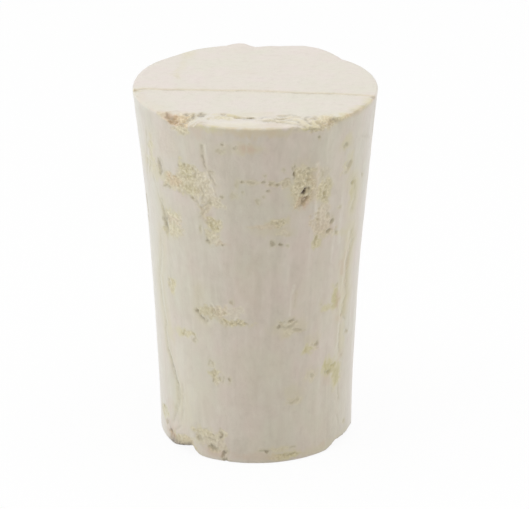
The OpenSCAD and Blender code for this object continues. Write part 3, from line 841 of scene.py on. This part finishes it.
# Crumbled places and stains on the head. Each row: layer, x, y, width, tallness, strength.
head_marks = [
    (crumble, -8.0, -9.3, 3.0, 3.2, 1.0),
    (rust, -8.5, -8.4, 1.0, 1.4, 1.7),
    (rust, -8.9, -7.9, 1.0, 1.1, 1.1),
    (rust, -8.0, -8.8, 1.3, 1.4, 1.2),
    (crumble, -6.7, -8.9, 1.4, 2.0, 0.9),
    (crumble, -6.2, -10.6, 1.4, 1.8, 0.35),
    (crumble, -9.5, -7.9, 0.8, 1.0, 0.5),
    (crumble, -3.0, -9.1, 3.2, 1.3, 0.6),
    (crumble, 2.3, -9.8, 3.2, 1.6, 0.5),
    (crumble, 4.6, -9.6, 2.0, 1.4, 0.4),
    (crumble, 7.2, -9.8, 2.6, 2.8, 0.8),
    (rust, -8.4, -9.6, 1.5, 3.2, 1.7),
    (rust, -7.2, -9.4, 1.0, 3.0, 0.8),
    (rust, 1.8, -11.2, 2.8, 1.2, 0.35),
    (rust, 7.4, -10.0, 1.6, 2.2, 0.45),
    (rust, 9.4, -8.1, 0.9, 0.9, 0.5),
    (rust, 12.1, -3.5, 0.7, 1.2, 0.9),
    (rust, -1.3, 3.9, 3.0, 1.6, 0.12),
    (dust_and_shade, 10.2, -7.2, 1.4, 1.3, 0.24),
    (dust_and_shade, 11.3, -5.4, 1.0, 1.5, 0.22),
    (dust_and_shade, 4.8, -11.3, 2.6, 0.8, 0.16),
    (stain, -7.9, 3.4, 0.6, 2.8, 0.5),
    (stain, -7.4, 6.2, 0.7, 3.4, 0.35),
    (stain, -6.9, 9.5, 1.3, 2.8, 0.55),
    (stain, -7.5, -11.4, 1.2, 1.8, 0.6),
    (rust, -6.2, -10.7, 2.4, 1.0, 0.2),
    (dust_and_shade, -6.2, -10.7, 2.4, 1.0, 0.16),
    (stain, -9.7, -7.8, 0.7, 1.2, 0.6),
    (rust, -9.3, -8.2, 1.0, 1.4, 0.4),
    (stain, -3.0, -9.0, 3.0, 2.0, 0.9),
    (stain, 0.0, -8.1, 4.6, 1.6, 0.35),
    (stain, 5.2, -11.0, 1.2, 1.4, 0.8),
    (stain, 7.0, -10.2, 3.2, 3.2, 1.0),
    (stain, 8.9, -8.6, 1.3, 2.2, 1.1),
    (stain, 10.1, -7.1, 1.2, 1.6, 1.2),
    (stain, 10.8, -6.0, 1.1, 1.6, 1.2),
    (stain, 11.6, -4.2, 1.0, 2.2, 1.0),
    (stain, -12.2, -1.3, 0.9, 1.4, 0.7),
    (stain, -9.8, -6.5, 1.4, 2.0, 0.25),
    (rust, -10.6, -5.6, 1.2, 3.0, 0.22),
    (rust, -11.6, -3.4, 1.0, 3.0, 0.22),
    (rust, -9.2, -7.6, 1.4, 1.6, 0.25),
    (pale, -4.0, -10.2, 1.8, 0.9, 0.2),
    (pale, -2.0, -11.0, 5.6, 1.0, 0.7),
    (pale, -0.6, -8.9, 0.8, 0.5, 1.0),
    (pale, 3.6, -11.4, 2.2, 0.9, 0.6),
    (stain, -1.5, -11.4, 7.0, 1.0, 0.4),
    (stain, 4.5, -10.6, 3.0, 1.6, 0.5),
]
for layer, x, y, wide, tall, strength in head_marks:
    blot(layer, strength, x_across - x, y_back - y, wide, tall, soft=0.7, weight=on_head)

# A thin yellow and pinkish edge runs round under the rim, and crumbles at its chips.
# Each row: layer, bearing, height, width, tallness, strength, softness.
rim_marks = [
    (crumble, -38, 37.4, 2.1, 1.4, 0.9, crisp),
    (crumble, 33, 37.7, 3.4, 0.8, 0.8, crisp),
    (crumble, 44, 37.9, 3.0, 0.4, 0.7, crisp),
    (stain, -37, 37.2, 1.8, 1.5, 0.45, crisp),
    (stain, 0, 37.7, 10.5, 0.9, 0.7, 0.9),
    (rust, -2, 37.6, 6.5, 0.9, 0.35, 0.9),
    (stain, 26, 37.75, 3.0, 0.6, 1.2, 0.8),
    (dust_and_shade, 24, 37.95, 4.0, 0.4, 0.22, 0.8),
    (stain, -22, 37.8, 3.0, 0.6, 0.9, 0.9),
    (stain, 45, 38.0, 4.0, 0.5, 0.8, crisp),
    (rust, 53, 37.95, 3.4, 0.45, 0.5, crisp),
    (stain, 66, 38.0, 5.0, 0.4, 0.8, crisp),
    (rust, -28, 37.0, 1.4, 1.4, 0.35, 1.0),
]
for layer, place, level, wide, tall, strength, soft in rim_marks:
    blot(layer, strength, *beside(place, level), wide, tall, soft=soft)

# The open crack runs from left to right through these places (x, y).
crack = np.array([
    (-7.6, -8.6),
    (-5.6, -8.6),
    (-3.4, -8.3),
    (-2.0, -8.8),
    (-0.8, -9.3),
    (0.9, -10.0),
    (2.4, -9.7),
    (4.4, -9.0),
]).T
crack_wide = 0.16                   # from its middle to its worn edge, in mm
crack_deep = 0.30
lip_proud = 0.05
crack_off = y_back - np.interp(x_across, *crack) + 0.16 * ragged
crack_run = ease((x_across + 7.8) / 0.8) * ease((4.8 - x_across) / 0.8) * on_head
crack_run *= ease(0.55 + 1.1 * smooth_noise(grid * [0.8, 0, 0], 51))
sunk += crack_deep * np.exp(-(crack_off / crack_wide) ** 2) * crack_run
np.maximum(dust_and_shade, 0.4 * np.exp(-(crack_off / crack_wide) ** 2) * crack_run, out=dust_and_shade)
# The lip in front of the crack stands a little proud of the face behind it.
lip = ease(-crack_off / 0.3) * ease((x_across + 6.2) / 0.8) * ease((4.6 - x_across) / 1.5) * on_head
sunk -= lip_proud * lip


def across_head(places):
    """Distance of each point from a bent line on the head, in mm."""
    nearest = np.full(len(grid), far_off)
    for (x, y), (x_end, y_end) in zip(places, places[1:]):
        nearest = np.minimum(nearest, off_run(x_across - x, y_back - y, (x_end - x, y_end - y)))
    return nearest


# Slivers of bark stand up between the torn pores by the lip's right end.
# Each row: width, height, paleness, the painted shadow beside it, and the places (x, y) it runs
# through.
slivers = [
    (0.55, 0.12, 0.9, 0.44, [(3.4, -9.0), (4.2, -9.6), (5.4, -10.9)]),
    (0.50, 0.14, 0.9, 0.46, [(5.4, -9.4), (6.1, -10.3), (6.9, -12.0)]),
    (0.40, 0.08, 0.8, 0.44, [(1.0, -9.4), (2.4, -10.2), (4.0, -10.8)]),
]
for wide, proud, light, gloom, places in slivers:
    off = across_head(places) + (0.25 * ragged + 0.2 * frayed) * wide
    sliver = np.exp(-(off / (0.5 * wide)) ** 2) * on_head
    sunk -= proud * sliver
    shadow = gloom * np.exp(-((off - 1.1 * wide) / (0.4 * wide)) ** 2) * on_head * ease(frayed + 0.6)
    np.maximum(dust_and_shade, shadow, out=dust_and_shade)
    np.maximum(pale, light * sliver, out=pale)
    dust_and_shade *= 1 - 0.8 * sliver

# The growth line across the head. Each row: x, y, and how dark the line is there.
growth_line = [
    (-12.4, -1.3, 0.5),
    (-12.0, -1.2, 0.3),
    (-11.4, -0.8, 0.3),
    (-10.2, -0.9, 0.18),
    (-9.2, -1.05, 0.42),
    (-7.8, -1.1, 0.42),
    (-7.0, -1.15, 0.2),
    (-5, -1.2, 0.3),
    (-4.2, -1.3, 0.2),
    (-3, -1.4, 0.34),
    (-1.5, -1.4, 0.34),
    (0.5, -1.6, 0.22),
    (1.2, -1.65, 0.3),
    (3.4, -1.9, 0.2),
    (4.0, -2.1, 0.55),
    (4.6, -2.1, 0.3),
    (5.2, -2.15, 0.4),
    (8, -2.25, 0.4),
    (9, -2.4, 0.22),
    (10.5, -2.6, 0.3),
    (11.6, -2.85, 0.2),
    (12.3, -3.0, 0.6),
]
line_x, line_y, line_dark = zip(*growth_line)
line_off = y_back - np.interp(x_across, line_x, line_y) + 0.06 * ragged + 0.03 * frayed
line_run = np.interp(x_across, line_x, line_dark) * on_head
sunk += 0.09 * np.exp(-(line_off / 0.12) ** 2) * on_head
np.maximum(dust_and_shade, 0.9 * line_run * np.exp(-(line_off / 0.17) ** 2) * ease(0.7 + 0.9 * frayed), out=dust_and_shade)
np.maximum(stain, 0.45 * np.exp(-(line_off / 0.45) ** 2) * on_head, out=stain)
np.maximum(rust, 0.4 * line_run * np.exp(-(line_off / 0.35) ** 2), out=rust)

# Pits in the head. Each row: x, y, width, tallness, depth, darkness.
head_pits = [
    (-8.9, -7.9, 0.5, 0.8, 0.25, 0.46),
    (-8.6, -8.3, 0.5, 0.9, 0.30, 0.45),
    (-8.6, -9.0, 0.5, 0.7, 0.30, 0.30),
    (-8.0, -8.9, 0.7, 0.7, 0.20, 0.30),
    (-8.5, -10.0, 0.6, 1.6, 0.30, 0.50),
    (-7.4, -10.2, 0.35, 1.2, 0.30, 0.42),
    (-7.0, -7.9, 0.5, 0.8, 0.30, 0.45),
    (-7.6, -9.7, 0.4, 0.8, 0.25, 0.42),
    (-7.1, -9.4, 0.5, 0.8, 0.25, 0.42),
    (-6.7, -9.05, 0.5, 0.8, 0.25, 0.42),
    (-6.3, -8.6, 0.4, 1.3, 0.35, 0.55),
    (-5.5, -8.4, 0.9, 1.2, 0.30, 0.60),
    (-4.7, -9.6, 0.4, 0.5, 0.20, 0.18),
    (-3.3, -8.1, 0.6, 0.6, 0.30, 0.32),
    (-2.0, -9.1, 0.5, 0.8, 0.30, 0.32),
    (-1.6, -9.3, 0.4, 0.4, 0.30, 0.40),
    (-0.8, -9.35, 0.9, 0.7, 0.40, 0.72),
    (1.0, -10.2, 1.0, 0.7, 0.25, 0.40),
    (2.4, -9.6, 1.1, 0.9, 0.30, 0.52),
    (1.6, -10.0, 0.6, 0.9, 0.20, 0.30),
    (3.0, -8.7, 1.4, 0.5, 0.20, 0.30),
    (2.6, -10.6, 1.5, 0.5, 0.20, 0.28),
    (5.6, -11.3, 0.6, 0.7, 0.22, 0.34),
    (6.0, -9.0, 0.3, 0.8, 0.20, 0.20),
    (6.9, -11.0, 0.3, 1.3, 0.25, 0.35),
    (7.6, -9.8, 0.8, 1.0, 0.35, 0.45),
    (8.0, -9.3, 1.0, 0.9, 0.25, 0.52),
    (6.9, -9.9, 0.5, 0.8, 0.20, 0.36),
    (7.4, -10.1, 0.3, 0.9, 0.20, 0.34),
    (6.2, -9.9, 0.4, 0.7, 0.20, 0.34),
    (6.6, -10.7, 0.4, 0.8, 0.20, 0.36),
    (5.6, -9.4, 0.6, 0.5, 0.15, 0.28),
    (10.4, -7.1, 0.5, 0.8, 0.15, 0.25),
    (10.9, -6.2, 0.5, 0.7, 0.15, 0.25),
    (-7.9, 2.8, 0.3, 1.0, 0.08, 0.12),
    (11.9, -3.1, 0.4, 0.7, 0.20, 0.40),
    (-12.1, -1.3, 0.4, 0.8, 0.20, 0.30),
]
for x, y, wide, tall, deep, gloom in head_pits:
    hole(x_across - x, y_back - y, wide, tall, deep, gloom, sunk, on_head)

# The foot: the cut face of the narrow end, which the stopper stands on. A wedge has broken out
# of its front left, up to an upright wall, and a thinner flake is gone at its front right.

on_foot = np.where(part == 1, 1.0, np.exp(-(above_foot / rim_blend) ** 2))
foot_inset = inset * (part == 1)    # distance in from the foot's rim, in mm
wall_place = -40.6                  # bearing of the wedge's wall
rise = np.zeros(len(grid))          # how far the foot is broken up, in mm
# Each row: bearing of its wall, the way the break runs, inset, and its edge as pairs of
# distance from the wall and rise, in mm.
foot_breaks = [
    (wall_place, -1, 3.4, [
        (0, 0.93), (0.4, 0.78), (1.0, 0.55), (2.0, 0.23), (2.6, 0.10), (3.3, 0.03), (4.2, 0),
    ]),
    (45.5, 1, 1.8, [
        (0, 0), (0.8, 0.22), (1.2, 0.42), (1.8, 0.56), (2.4, 0.58), (3.2, 0.52), (5.0, 0.44),
        (6.2, 0.36), (7.2, 0),
    ]),
]
for place, way, deep_in, edge in foot_breaks:
    run, tall = zip(*edge)
    along_rim = way * turn_from(place) * radius + 0.05 * frayed
    reach_in = 1.1 - 0.6 * np.clip(along_rim / run[-1], 0, 1) + 0.35 * ragged + 0.15 * frayed
    wall = ease((deep_in * reach_in - foot_inset) / 0.35) * ease(along_rim / 0.12)
    rise = np.maximum(rise, np.interp(along_rim, run, tall) * wall * (1 + 0.06 * frayed))
# The corner left standing at the wall is rubbed round.
rubbed_rise = 0.84
rubbed_wide = 0.48
corner = (bearing - np.radians(wall_place)) * radius
rubbed = rubbed_rise * np.exp(-np.clip(corner, 0, None) / rubbed_wide) * (corner > -0.3)
rubbed *= ease(1 - foot_inset / 3.0)
rise = np.maximum(rise, rubbed)

# The torn bark of the breaks is yellow and rusty, with dark dust in its corners and painted
# shade along their bottom edges.
# Each row: layer, bearing, height, width, tallness, lean, strength, softness.
foot_marks = [
    (stain, -52, 0.9, 4.2, 1.4, 0, 1.3, 0.7),
    (rust, -48, 0.9, 3.6, 1.2, 0, 0.4, 0.8),
    (crumble, -59.5, 1.0, 1.4, 1.2, 0, 0.7, crisp),
    (rust, -59.5, 1.0, 1.6, 1.4, 0, 1.6, 0.8),
    (rust, -52.5, 0.4, 1.6, 0.6, 0, 0.7, 0.8),
    (rust, -63, 1.5, 0.9, 1.4, 25, 0.6, 0.8),
    (dust_and_shade, -62, 1.5, 0.35, 1.4, 25, 0.35, 0.8),
    (dust_and_shade, -60.3, 0.9, 0.5, 1.0, 0, 0.35, 0.8),
    (dust_and_shade, -53, 0.4, 2.2, 0.7, 0, 0.34, 0.8),
    (dust_and_shade, 62, 0.1, 5.6, 0.3, 0, 0.25, 0.8),
]
for layer, place, level, wide, tall, lean, strength, soft in foot_marks:
    blot(layer, strength, *beside(place, level, lean), wide, tall, soft=soft)


def from_ring(values, ring):
    """A copy in which every point of the side takes its column's value at one ring."""
    copied = values.copy()
    copied[:side_count] = np.tile(values[ring * columns:(ring + 1) * columns], rings)
    return copied


# Dust darkens the torn faces too. Low on the side over the breaks, and most of all next to the
# wedge's wall, the darkening is painted shade.
lift = from_ring(rise, 0)
np.maximum(dust_and_shade, 0.18 * ease(rise / 0.5) * on_foot * (part == 1), out=dust_and_shade)
np.maximum(dust_and_shade, 0.6 * np.exp(-(above_foot / 0.45) ** 2) * ease(lift * (part == 0) / 0.5), out=dust_and_shade)
shaded = ease((-40.8 - np.degrees(bearing)) / 0.6) * ease((np.degrees(bearing) + 68) / 9)
np.maximum(dust_and_shade, 0.85 * np.exp(-(above_foot / 0.9) ** 2) * shaded * (part == 0), out=dust_and_shade)
np.maximum(stain, 0.8 * ease(rise / 0.4) * on_foot, out=stain)
np.maximum(crumble, 0.8 * ease(rise / 0.3) * on_foot, out=crumble)

# The growth line comes out again across the foot, among a few pits.
foot_line_off = y_back + 1.9 + 0.25 * np.sin(x_across * 0.5) + 0.1 * ragged
foot_line = np.exp(-(foot_line_off / 0.16) ** 2) * (part == 1) * ease(0.6 + 0.9 * frayed)
sunk += 0.08 * foot_line
np.maximum(dust_and_shade, 0.3 * foot_line, out=dust_and_shade)
np.maximum(stain, 0.5 * np.exp(-(foot_line_off / 0.5) ** 2) * (part == 1), out=stain)
for _ in range(9):
    x, y = rng.uniform(-7, 7), rng.uniform(-7, 8)
    blot(crumble, 0.7, x_across - x, y_back - y, 1.6, 0.9, weight=on_foot)
    hole(x_across - x, y_back - y, rng.uniform(0.4, 1.0), rng.uniform(0.3, 0.6), 0.3, 0.3, sunk, on_foot)

# The blank is worn: crumbled places are eaten away grain by grain, the side and the ends sink,
# and the rims break back along the slope of the side.

crumb = 0.40                        # size of a crumb of the bark, in mm
eaten = crumble > 0.02
near_cell, next_cell = cells(grid[eaten] / crumb, 61)
crevice = np.exp(-((next_cell - near_cell) / 0.16) ** 2)
grain = np.zeros(len(grid))
grain[eaten] = crumble[eaten] * (0.07 + 0.07 * (near_cell - 0.45) + 0.03 * crevice + 0.06 * frayed[eaten])
inwards += grain * on_side
sunk += grain * on_head * 0.8
# The sunk crevices between the crumbs are darkened: dust, and painted shade.
gap = np.zeros(len(grid))
gap[eaten] = 0.26 * ease(crumble[eaten] * 1.4 - 0.3) * crevice * ease(0.55 + 1.1 * frayed[eaten])
np.maximum(dust_and_shade, gap, out=dust_and_shade)


def squeezed(shift, distance):
    """Share of a rim's shift that is left on the side at a distance from that rim.

    It fades out over 2.4 times the shift, so that the rings between them never cross.
    """
    return ease(1 - distance / np.maximum(2.4 * shift, 0.05))


fall = from_ring(drop, rings - 1)
new_height = height - fall * np.where(part == 2, 1, squeezed(fall, below_head)) * (part != 1)
new_height += lift * np.where(part == 1, 1, squeezed(lift, above_foot)) * (part != 2)
new_radius = radius + np.where(part == 0, side_r(new_height) - side_r(height), 0)

end_reach = 2                       # how far from an end its marks can move the side, in mm
most_proud = 0.25                   # how far the head may stand above the blank, in mm
new_radius += spread * out_of_round - push - inwards * on_side
new_height += on_foot * (part != 2) * np.clip(sunk, 0, None) * 0.7 * (above_foot < end_reach)
new_height -= on_head * (part != 1) * sunk * (below_head < end_reach)
shape = np.stack([new_radius * np.sin(bearing), -new_radius * np.cos(bearing), new_height], -1)
shape[:, 2] = np.clip(shape[:, 2], 0, length + most_proud)

corners, face_part = faces()
mesh = bpy.data.meshes.new("stopper_body")
mesh.vertices.add(len(shape))
mesh.vertices.foreach_set("co", (shape * mm + [0, 0, low.z]).ravel())
mesh.loops.add(corners.size)
mesh.loops.foreach_set("vertex_index", corners.ravel())
mesh.polygons.add(len(corners))
mesh.polygons.foreach_set("loop_start", np.arange(len(corners)) * 4)
mesh.update(calc_edges=True)
point_layers = {
    "crumble": crumble,
    "dust_and_shade": dust_and_shade,
    "stain": stain,
    "rust": rust,
    "pale": pale,
    "head_face": on_head,
}
for name, layer in point_layers.items():
    mesh.attributes.new(name, "FLOAT", "POINT").data.foreach_set("value", layer)
mesh.attributes.new("part", "INT", "FACE").data.foreach_set("value", face_part)

stopper = bpy.data.objects.new("stopper_body", mesh)
bpy.context.scene.collection.objects.link(stopper)

# The even grid has far more faces than the smooth places need, so those are thinned out.
face_limit = 196000
thin = stopper.modifiers.new("thin", "DECIMATE")
thin.ratio = face_limit / (2 * len(corners))
thin.use_collapse_triangulate = True
bpy.context.view_layer.objects.active = stopper
with bpy.context.temp_override(object=stopper, active_object=stopper, selected_objects=[stopper]):
    bpy.ops.object.modifier_apply(modifier=thin.name)
mesh = stopper.data
mesh.polygons.foreach_set("use_smooth", np.ones(len(mesh.polygons), bool))


def lay_out(mesh):
    """Unwraps the side as one strip, cut up the back, with the two ends as discs above it."""
    spots = np.zeros(len(mesh.vertices) * 3)
    mesh.vertices.foreach_get("co", spots)
    spots = spots.reshape(-1, 3) / mm
    owner = np.zeros(len(mesh.loops), int)
    mesh.loops.foreach_get("vertex_index", owner)
    spots = spots[owner].reshape(-1, 3, 3)
    belongs = np.zeros(len(mesh.polygons), int)
    mesh.attributes["part"].data.foreach_get("value", belongs)
    turn = np.arctan2(spots[..., 0], -spots[..., 1])
    middle = np.arctan2(spots[..., 0].mean(1), -spots[..., 1].mean(1))[:, None]
    turn = middle + (turn - middle + np.pi) % (2 * np.pi) - np.pi
    strip_wide = 0.156      # for each radian of turn
    strip_tall = 0.466
    margin = 0.01
    disc_wide = 0.46
    foot_middle = [0.25, 0.74]
    head_middle = [0.75, 0.74]
    strip = np.stack([0.5 + turn * strip_wide, margin + spots[..., 2] / length * strip_tall], -1)
    flat = spots[..., :2] / (2 * head_r) * disc_wide
    foot = flat * [-1, 1] + foot_middle
    head = flat + head_middle
    chosen = belongs[:, None, None]
    return np.where(chosen == 0, strip, np.where(chosen == 1, foot, head))


mesh.uv_layers.new(name="OFBake").data.foreach_set("uv", lay_out(mesh).ravel())

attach(stopper, "root")
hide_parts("stopper")

# Its finish is bleached cork: pale, matte and dry. Faint upright streaks follow the growth
# layers, the tone drifts between pinkish and olive, crumbled places are cream yellow, and pits
# hold dark dust.


def tone(red, green, blue):
    """A colour given as screen values from 0 to 255, in the linear values that a shader takes."""
    shares = np.array([red, green, blue]) / 255
    linear = np.where(shares > 0.04045, ((shares + 0.055) / 1.055) ** 2.4, shares / 12.92)
    return (*linear, 1.0)


class Wire:
    """An output of a shader node. Sums and products of wires add the Math nodes for them."""

    def __init__(self, tree, output=None):
        self.tree = tree
        self.output = output

    def node(self, kind, settings=None, values=None, output=0):
        made = self.tree.nodes.new("ShaderNode" + kind)
        for name, value in (settings or {}).items():
            setattr(made, name, value)
        for name, value in (values or {}).items():
            if isinstance(value, Wire):
                self.tree.links.new(value.output, made.inputs[name])
            else:
                made.inputs[name].default_value = value
        return Wire(self.tree, made.outputs[output] if made.outputs else None)

    def math(self, operation, one, other=0.0):
        return self.node("Math", {"operation": operation}, {0: one, 1: other})

    def __add__(self, other):
        return self.math("ADD", self, other)

    __radd__ = __add__

    def __sub__(self, other):
        return self.math("SUBTRACT", self, other)

    def __rsub__(self, other):
        return self.math("SUBTRACT", other, self)

    def __mul__(self, other):
        return self.math("MULTIPLY", self, other)

    __rmul__ = __mul__

    def __pow__(self, other):
        return self.math("POWER", self, other)

    def clip(self):
        return self.node("Clamp", None, {"Value": self})

    def step(self, low, high):
        """Rises smoothly from 0 to 1 as the wire goes from low to high."""
        settings = {"interpolation_type": "SMOOTHSTEP"}
        return self.node("MapRange", settings, {"Value": self, "From Min": low, "From Max": high})

    def mix(self, one, other):
        """The first colour where the wire is 0 and the second where it is 1."""
        return self.node("Mix", {"data_type": "RGBA"}, {0: self, 6: one, 7: other}, output=2)

    def scaled(self, amounts):
        return self.node("VectorMath", {"operation": "MULTIPLY"}, {0: self, 1: amounts})


cork = bpy.data.materials.new("bleached_cork")
cork.use_nodes = True
cork.node_tree.nodes.clear()
shader = Wire(cork.node_tree)
position = shader.node("TexCoord", output="Object").scaled((1 / mm, 1 / mm, 1 / mm))    # in mm


def noise(stretch, detail=2.0, roughness=0.5):
    """Noise from 0 to 1 that changes over the given lengths along X, Y and Z, in mm."""
    scaled = position.scaled(tuple(1 / s for s in stretch))
    values = {"Vector": scaled, "Scale": 1.0, "Detail": detail, "Roughness": roughness}
    return shader.node("TexNoise", None, values)


def painted(name):
    """A layer of the mesh, such as its crumbled places."""
    return shader.node("Attribute", {"attribute_name": name}, output="Fac")


crumbled = painted("crumble")
dusted_and_shaded = painted("dust_and_shade")
yellowed = painted("stain")
rusted = painted("rust")
pale_and_lit = painted("pale")
head_face = painted("head_face")
drift = noise((5.5, 5.5, 7.0), 3.0).step(0.35, 0.65)
blush = noise((1.8, 1.8, 4.5), 2.0).step(0.32, 0.68)
mottle = noise((0.7, 0.7, 1.0), 3.0, 0.6)
streaks = noise((1.6, 0.8, 12.0), 3.0, 0.6)
fine_streaks = noise((0.5, 0.3, 4.0), 2.0)
speckle = noise((0.16, 0.16, 0.2), 2.0)
clouds = noise((1.6, 1.6, 2.2), 3.0)

# The plain bark of the side and, finer and paler, of the head. Part of the head's paler, cooler
# tone is painted light from above.
pink_bark = tone(212, 198, 185)
green_bark = tone(208, 199, 180)
grey_green_bark = tone(204, 200, 182)
buff_bark = tone(204, 189, 174)
pink_head = tone(217, 205, 197)
green_head = tone(213, 207, 191)
brown_streak = tone(188, 176, 158)
brown_mottle = tone(187, 173, 157)
pale_mottle = tone(221, 212, 198)
pale_streak = tone(226, 217, 203)
brown_speckle = tone(178, 165, 146)
body = drift.mix(pink_bark, green_bark)
body = (blush * 0.45).mix(body, grey_green_bark)
body = (clouds.step(0.3, 0.75) * 0.4).mix(body, buff_bark)
head_tone = (drift * 0.5 + blush * 0.5).mix(pink_head, green_head)
body = (head_face * 0.8).clip().mix(body, head_tone)
body = (streaks.step(0.45, 0.75) * (0.36 - head_face * 0.28)).mix(body, brown_streak)
body = (mottle.step(0.5, 0.75) * 0.24).mix(body, brown_mottle)
body = (mottle.step(0.5, 0.25) * 0.24).mix(body, pale_mottle)
body = (fine_streaks.step(0.5, 0.8) * 0.14).mix(body, pale_streak)
body = (speckle.step(0.55, 0.8) * 0.12).mix(body, brown_speckle)

# Stains soak in unevenly. A yellow stain stronger than 1 turns olive.
pale_and_lit_bark = tone(226, 218, 203)
yellow_bark = tone(207, 197, 162)
olive_bark = tone(190, 179, 128)
rusty_bark = tone(204, 180, 158)
soaked = clouds * 0.9 + 0.45
olive = ((yellowed - 1) * soaked).clip()
body = (pale_and_lit * 0.8).clip().mix(body, pale_and_lit_bark)
body = (yellowed * soaked).clip().mix(body, yellow_bark)
body = olive.mix(body, olive_bark)
body = (rusted * soaked).clip().mix(body, rusty_bark)

# Crumbs: each kind has a tone in its crevices and a brighter one on its grains: partly their own
# colour, partly painted shade and painted highlight.
cream_crumbs = tone(198, 183, 149), tone(230, 219, 191)
olive_crumbs = tone(176, 164, 118), tone(214, 205, 168)
rusty_crumbs = tone(196, 170, 132), tone(230, 208, 172)
brown_crumbs = tone(158, 128, 92), tone(206, 183, 150)
clean_crumbs = tone(212, 200, 172), tone(232, 223, 202)
crumb_lumps = tone(199, 185, 150)
grains = noise((0.28, 0.28, 0.28), 3.0, 0.6)
bright = grains.step(0.36, 0.64)
lumps = noise((0.75, 0.75, 0.75), 2.0)
crumbs = bright.mix(*cream_crumbs)
crumbs = (lumps.step(0.45, 0.7) * 0.4).mix(crumbs, crumb_lumps)
crumbs = (olive * 0.7).mix(crumbs, bright.mix(*olive_crumbs))
crumbs = (rusted * 0.7).clip().mix(crumbs, bright.mix(*rusty_crumbs))
crumbs = ((rusted - 1) * 1.2).clip().mix(crumbs, bright.mix(*brown_crumbs))
crumbs = (pale_and_lit * 0.6).mix(crumbs, bright.mix(*clean_crumbs))
body = (crumbled * (grains * 0.5 + 0.6)).clip().mix(body, crumbs)

# Dust is thin and grey-brown at the edge of a pit, and dark brown in its middle. The painted
# shade in the same layer takes the same colours.
thin_dust_and_shade = tone(150, 138, 112)
deep_dust_and_shade = tone(88, 68, 56)
dust_and_shade_share = (dusted_and_shaded * (grains.step(0.3, 0.7) * 0.8 + 0.6)).clip()
body = dust_and_shade_share.mix(body, dust_and_shade_share.mix(thin_dust_and_shade, deep_dust_and_shade))

coarse = noise((0.3, 0.3, 0.5), 3.0, 0.6)
relief = coarse * (crumbled * 0.9 + 0.25) + mottle * 0.3 + fine_streaks * 0.15 + speckle * 0.2
relief_height = 0.12                # in mm
bump = shader.node("Bump", None, {"Strength": 0.5, "Distance": relief_height * mm, "Height": relief})
surface = shader.node("BsdfPrincipled", None, {
    "Base Color": body,
    "Roughness": crumbled * 0.1 + 0.82,
    "Normal": bump,
    "Specular IOR Level": 0.5,
    "Sheen Weight": 0.9,
    "Sheen Roughness": 0.45,
})
shader.node("OutputMaterial", None, {"Surface": surface})
mesh.materials.append(cork)

# ---------------------------------------------------------------- Floor
# A plain pale table top, one flat sheet under the stopper. To the eye it runs out to white, and
# it keeps the stopper's soft shadow. It isn't part of the object.

bpy.ops.mesh.primitive_plane_add(size=4, location=(0, 0, low.z))
floor = bpy.context.object
floor.name = "floor"
paper = bpy.data.materials.new("white_floor")
paper.use_nodes = True
paper.node_tree.nodes.clear()
shader = Wire(paper.node_tree)


def seen_rays(shader):
    """1 for what the eye sees, straight, in a gloss or through glass, and 0 for light's own path."""
    rays = shader.node("LightPath", output="Is Camera Ray")
    for kind in ("Is Glossy Ray", "Is Transmission Ray"):
        rays = rays + shader.node("LightPath", output=kind)
    return rays.clip()


paper_white = (0.86, 0.86, 0.85, 1)
shadow_kept = 0.07                  # share of the plain paper, with its shadows, left in the white
plain = shader.node("BsdfDiffuse", None, {"Color": paper_white})
glow = shader.node("Emission", None, {"Color": (1, 1, 1, 1), "Strength": 1.0})
both = shader.node("MixShader", None, {0: seen_rays(shader) * (1 - shadow_kept), 1: plain, 2: glow})
shader.node("OutputMaterial", None, {"Surface": both})
floor.data.materials.append(paper)

# ---------------------------------------------------------------- Light
# A white room with three square softboxes that all face the stopper: a broad one overhead, and
# one at each side, low down.

bpy.context.scene.view_settings.view_transform = "Standard"
world = bpy.data.worlds.new("room")
bpy.context.scene.world = world
world.use_nodes = True
world.node_tree.nodes.clear()
shader = Wire(world.node_tree)
room_fill = 0.40
fill = shader.node("Background", None, {"Color": (1, 1, 1, 1), "Strength": room_fill})
white = shader.node("Background", None, {"Color": (1, 1, 1, 1), "Strength": 1.0})
both = shader.node("MixShader", None, {0: seen_rays(shader), 1: fill, 2: white})
shader.node("OutputWorld", None, {"Surface": both})

middle = Vector((0, 0, (low.z + high.z) / 2))
lamp_distance = 0.5                 # in metres


def softbox(name, from_bearing, elevation, size, watts, colour):
    """A square lamp that faces the stopper from a bearing and an elevation."""
    lamp = bpy.data.lights.new(name, "AREA")
    lamp.color = colour
    lamp.shape = "SQUARE"
    lamp.size = size
    lamp.energy = watts
    holder = bpy.data.objects.new(name, lamp)
    turn, tilt = np.radians(from_bearing), np.radians(elevation)
    away = Vector((np.sin(turn) * np.cos(tilt), -np.cos(turn) * np.cos(tilt), np.sin(tilt)))
    holder.location = middle + away * lamp_distance
    holder.rotation_mode = "QUATERNION"
    holder.rotation_quaternion = away.to_track_quat("Z", "Y")
    holder.visible_camera = False
    bpy.context.scene.collection.objects.link(holder)


softbox("overhead", 0, 88, size=0.5, watts=1.93, colour=(1.0, 0.99, 0.98))
softbox("left_box", -80, 12, size=0.4, watts=1.25, colour=(0.85, 0.94, 1.0))
softbox("right_box", 90, 12, size=0.4, watts=0.66, colour=(0.95, 0.98, 1.0))

# ---------------------------------------------------------------- Camera
# A long lens in front of the stopper and a little above it, looking down on its head. The
# frame is shifted slightly to the side.

stand_off = 338.2                   # distance in front of the stopper's middle, in mm
eye_height = 162.4                  # height above the foot, in mm
look_down = 22.92                   # in degrees
lens = bpy.data.cameras.new("camera")
lens.lens = 239.5
lens.sensor_width = 36
lens.shift_x = 0.01664
lens.clip_start = 0.01
lens.clip_end = 10
camera = bpy.data.objects.new("camera", lens)
camera.location = (0, -stand_off * mm, low.z + eye_height * mm)
camera.rotation_euler = (np.radians(90 - look_down), 0, 0)
bpy.context.scene.collection.objects.link(camera)
bpy.context.scene.camera = camera
